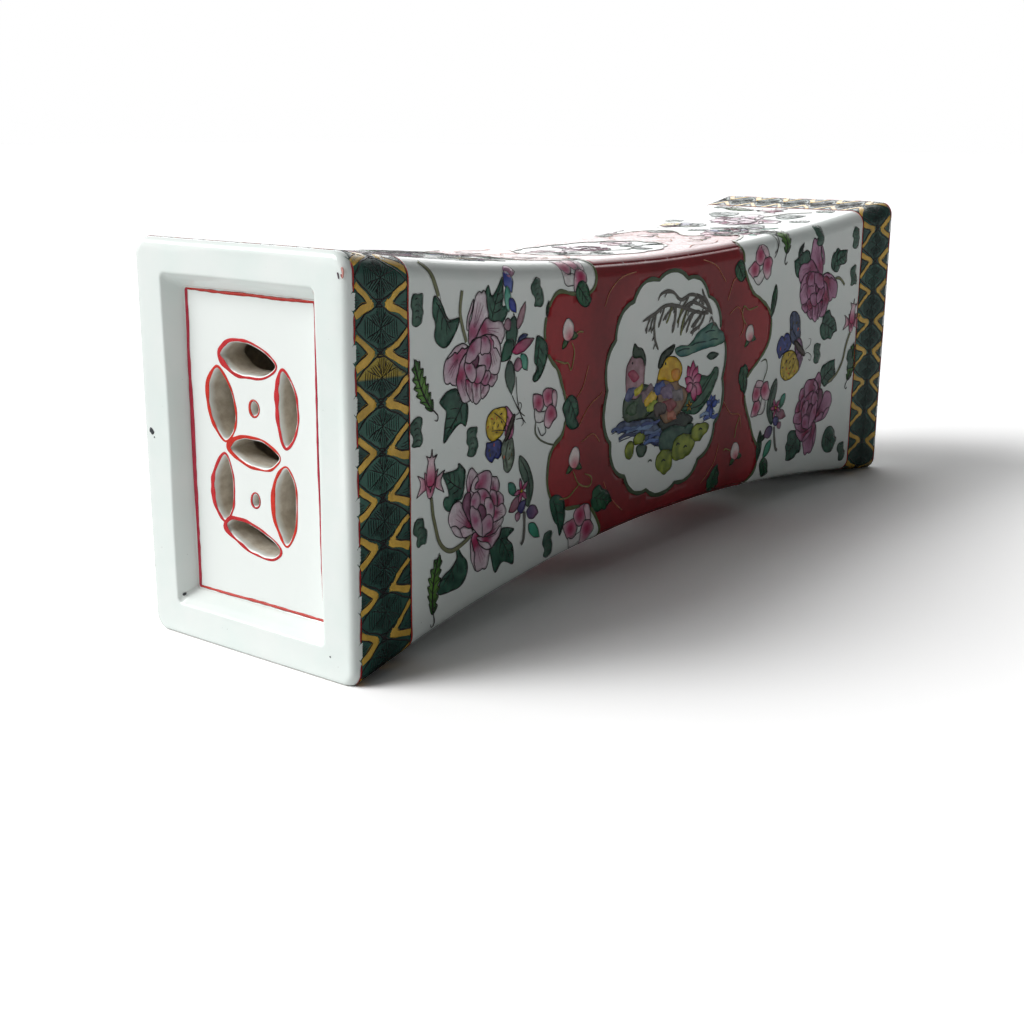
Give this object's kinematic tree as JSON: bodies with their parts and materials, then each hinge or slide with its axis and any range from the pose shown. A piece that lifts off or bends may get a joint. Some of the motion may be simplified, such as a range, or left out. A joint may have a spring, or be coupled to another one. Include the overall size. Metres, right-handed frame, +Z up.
{
  "type": "ceramic pillow",
  "caption": "Hollow waisted block pillow of glazed porcelain with concave long faces and a pierced panel set back in each end.",
  "frame": {"origin": "on the floor under the middle of the pillow", "axes": "+X along the pillow's length towards its right end, the painted front faces -Y, +Z up as it stands"},
  "size_m": [0.38, 0.0924, 0.1306],
  "materials": {
    "glazed_porcelain": "clear white glaze with overglaze enamel painting",
    "fired_slip": "slip fused between the slabs under the same glaze",
    "biscuit": "unglazed white clay body, slightly rough"
  },
  "bodies": {
    "root": {"top_wall": "glazed_porcelain", "bottom_wall": "glazed_porcelain", "front_wall": "glazed_porcelain", "back_wall": "glazed_porcelain", "top_front_seam": "fired_slip", "top_back_seam": "fired_slip", "bottom_front_seam": "fired_slip", "bottom_back_seam": "fired_slip", "left_panel": "glazed_porcelain", "left_panel_seam": "fired_slip", "left_mouth_strip": "glazed_porcelain", "left_panel_coil": "biscuit", "right_panel": "glazed_porcelain", "right_panel_seam": "fired_slip", "right_mouth_strip": "glazed_porcelain", "right_panel_coil": "biscuit", "top_front_coil": "biscuit", "top_back_coil": "biscuit", "bottom_front_coil": "biscuit", "bottom_back_coil": "biscuit"}
  },
  "joints": []
}
